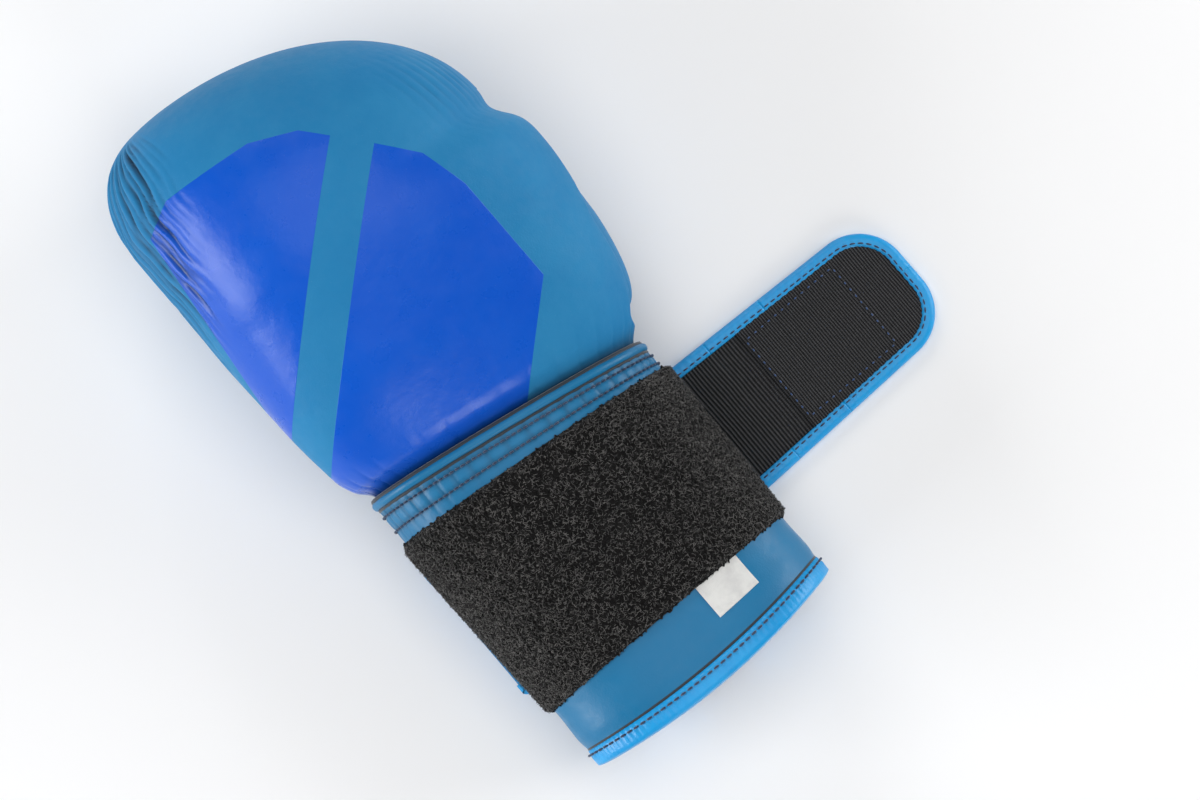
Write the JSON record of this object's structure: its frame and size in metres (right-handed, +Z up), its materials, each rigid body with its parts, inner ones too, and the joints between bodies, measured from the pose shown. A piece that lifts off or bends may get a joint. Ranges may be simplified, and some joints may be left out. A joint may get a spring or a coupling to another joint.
{
  "type": "boxing glove",
  "caption": "Padded left-hand glove with a thumb stall, a grip bar, an open cuff and a hook-and-loop strap that folds over the wrist",
  "frame": {"origin": "on the surface the glove lies on, in the middle of the flat under the fingers", "axes": "+Y from the cuff to the knuckles, +X to the thumb side, +Z up out of the back of the hand"},
  "size_m": [0.2357, 0.314, 0.1118],
  "materials": {
    "matte_leather": "matte synthetic leather",
    "binding": "semi-gloss folded tape",
    "foam": "closed-cell foam",
    "lining": "smooth woven lining",
    "webbing": "ribbed woven elastic",
    "hook_tape": "nylon hooks",
    "loop_tape": "nylon loop pile",
    "thread": "twisted nylon",
    "label": "woven satin"
  },
  "bodies": {
    "glove": {"back_shell": "matte_leather", "cuff_binding": "binding", "cuff_foam": "foam", "cuff_lining": "lining", "cuff_shell": "matte_leather", "finger_shell": "matte_leather", "grip_bar": "matte_leather", "hand_lining": "lining", "knuckle_foam": "foam", "loop_patch": "loop_tape", "palm_foam": "foam", "palm_shell": "matte_leather", "size_label": "label", "slit_binding_finger_side": "binding", "slit_binding_thumb_side": "binding", "strap_binding_front_root": "binding", "strap_binding_rear_root": "binding", "strap_face_root": "matte_leather", "strap_webbing_root": "webbing", "thumb_tie": "matte_leather", "welt_thread_front": "thread", "welt_thread_rear": "thread", "wrist_welt": "matte_leather"},
    "thumb": {"thumb_foam": "foam", "thumb_lining": "lining", "thumb_shell": "matte_leather"},
    "strap_link_1": {"strap_binding_front_1": "binding", "strap_binding_rear_1": "binding", "strap_face_1": "matte_leather", "strap_webbing_1": "webbing"},
    "strap_link_2": {"strap_binding_front_2": "binding", "strap_binding_rear_2": "binding", "strap_face_2": "matte_leather", "strap_webbing_2": "webbing"},
    "strap_link_3": {"hook_tape_3": "hook_tape", "strap_binding_front_3": "binding", "strap_binding_rear_3": "binding", "strap_face_3": "matte_leather", "strap_webbing_3": "webbing"},
    "strap_link_4": {"hook_tape_4": "hook_tape", "strap_binding_tip": "binding", "strap_face_4": "matte_leather", "strap_webbing_4": "webbing"}
  },
  "joints": [
    {"name": "strap_close", "type": "hinge", "parent": "glove", "child": "strap_link_1", "pos_m": [0.035, -0.1575, 0.0053], "axis": [0, -1, 0], "range_deg": [0, 29]},
    {"name": "strap_fold_2", "type": "hinge", "parent": "strap_link_1", "child": "strap_link_2", "pos_m": [0.068, -0.1575, 0.0053], "axis": [0, -1, 0], "range_deg": [0, 58]},
    {"name": "strap_fold_3", "type": "hinge", "parent": "strap_link_2", "child": "strap_link_3", "pos_m": [0.095, -0.1575, 0.0053], "axis": [0, -1, 0], "range_deg": [0, 51]},
    {"name": "strap_fold_4", "type": "hinge", "parent": "strap_link_3", "child": "strap_link_4", "pos_m": [0.124, -0.1575, 0.0053], "axis": [0, -1, 0], "range_deg": [0, 32]},
    {"name": "thumb_flex", "type": "hinge", "parent": "glove", "child": "thumb", "pos_m": [0.048, -0.0927, 0.036], "axis": [0, 0, -1], "range_deg": [0, 9], "stiffness_Nm_per_rad": 0.4}
  ],
  "couplings": [
    {"joint": "strap_fold_2", "follows": "strap_close", "ratio": 2},
    {"joint": "strap_fold_3", "follows": "strap_close", "ratio": 1.75},
    {"joint": "strap_fold_4", "follows": "strap_close", "ratio": 1.1}
  ]
}
